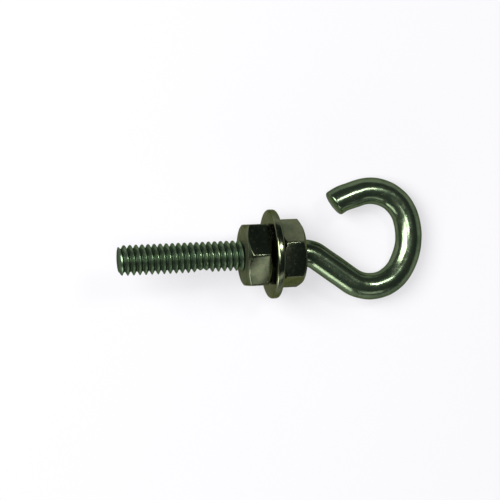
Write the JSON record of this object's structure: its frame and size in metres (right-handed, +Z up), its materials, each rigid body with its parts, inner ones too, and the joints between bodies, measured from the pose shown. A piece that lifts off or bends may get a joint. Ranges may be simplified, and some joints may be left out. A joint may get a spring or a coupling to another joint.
{
  "type": "open eye screw",
  "caption": "Rod bent to an open eye with a machine-threaded stud, hex nuts and a flat washer between them, for hanging or tying things to a panel, post or anchor.",
  "frame": {"origin": "on the ground under the middle of the part's bounds, with the screw lying as it comes to rest", "axes": "+X along the ground from the stud's free end to the eye, +Y to the side of the eye's tip, +Z up; the stud rises towards -X by 12.4 degrees"},
  "size_m": [0.064, 0.0256, 0.019],
  "materials": {
    "rod_steel": "bright plated, glossy",
    "nut_steel": "bright plated, glossy",
    "washer_steel": "bright plated, glossy"
  },
  "bodies": {
    "hook_bolt": {"hook_bolt": "rod_steel"},
    "washer": {"washer": "washer_steel"},
    "front_nut": {"front_nut": "nut_steel"},
    "back_nut": {"back_nut": "nut_steel"}
  },
  "joints": [
    {"name": "washer_slide", "type": "slide", "parent": "hook_bolt", "child": "washer", "axis": [-0.9767, 0, 0.2145], "range_m": [0, 0.02541]},
    {"name": "front_nut_turn", "type": "hinge", "parent": "washer", "child": "front_nut", "pos_m": [0.00023, -0.00235, 0.00916], "axis": [-0.9767, 0, 0.2145], "range_deg": [0, 7200]},
    {"name": "back_nut_turn", "type": "hinge", "parent": "hook_bolt", "child": "back_nut", "pos_m": [0.00023, -0.00235, 0.00916], "axis": [-0.9767, 0, 0.2145], "range_deg": [0, 60]}
  ],
  "couplings": [
    {"joint": "washer_slide", "follows": "front_nut_turn", "m_per_rad": 0.00020213}
  ]
}
